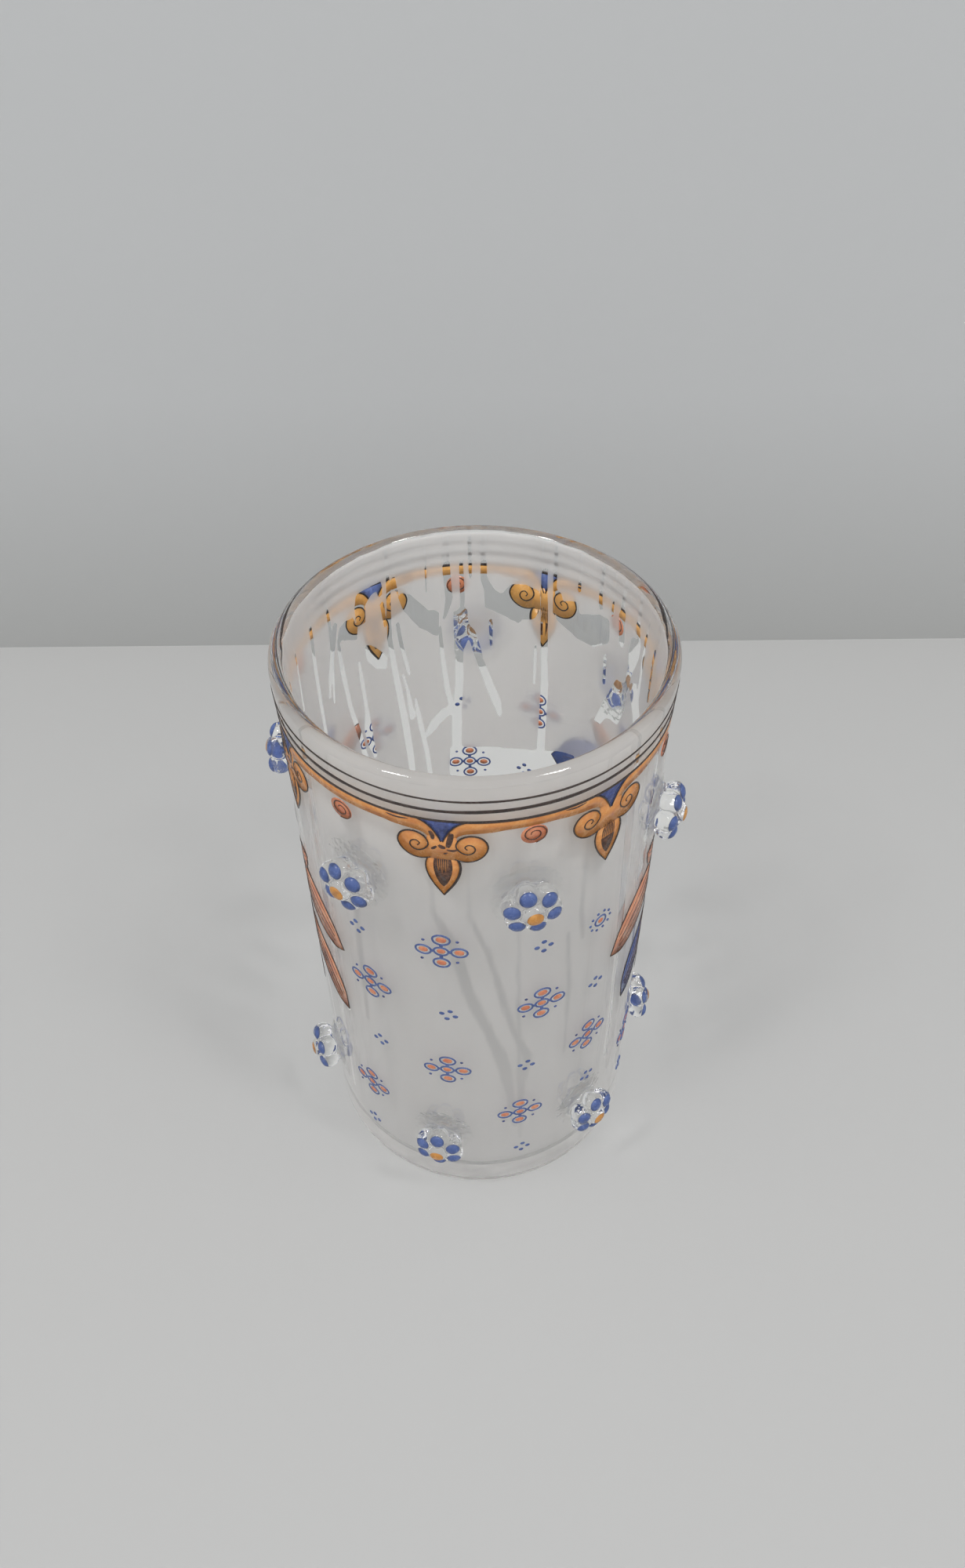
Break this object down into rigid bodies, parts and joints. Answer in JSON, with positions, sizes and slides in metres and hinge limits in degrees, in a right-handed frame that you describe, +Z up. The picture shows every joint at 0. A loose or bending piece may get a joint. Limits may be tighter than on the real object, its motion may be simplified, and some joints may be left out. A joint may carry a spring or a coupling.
{
  "type": "glass vase",
  "caption": "Tall cylindrical beaker vase in blown glass, open at the top, with raised raspberry prunts in an upper and a lower staggered row round the wall.",
  "frame": {"origin": "centre of the foot, on the surface that the vase stands on", "axes": "+Z up along the vase's axis; -Y faces the front, between two upper prunts' columns; +X to the viewer's right"},
  "size_m": [0.1051, 0.1047, 0.1718],
  "materials": {
    "frosted_glass": "clear glass, satin-frosted inside with clear streaks",
    "clear_glass": "clear, fire-polished"
  },
  "bodies": {
    "root": {"vase_body": "frosted_glass", "upper_prunt_1": "clear_glass", "upper_prunt_2": "clear_glass", "upper_prunt_3": "clear_glass", "upper_prunt_4": "clear_glass", "upper_prunt_5": "clear_glass", "upper_prunt_6": "clear_glass", "lower_prunt_1": "clear_glass", "lower_prunt_2": "clear_glass", "lower_prunt_3": "clear_glass", "lower_prunt_4": "clear_glass", "lower_prunt_5": "clear_glass", "lower_prunt_6": "clear_glass"}
  },
  "joints": []
}
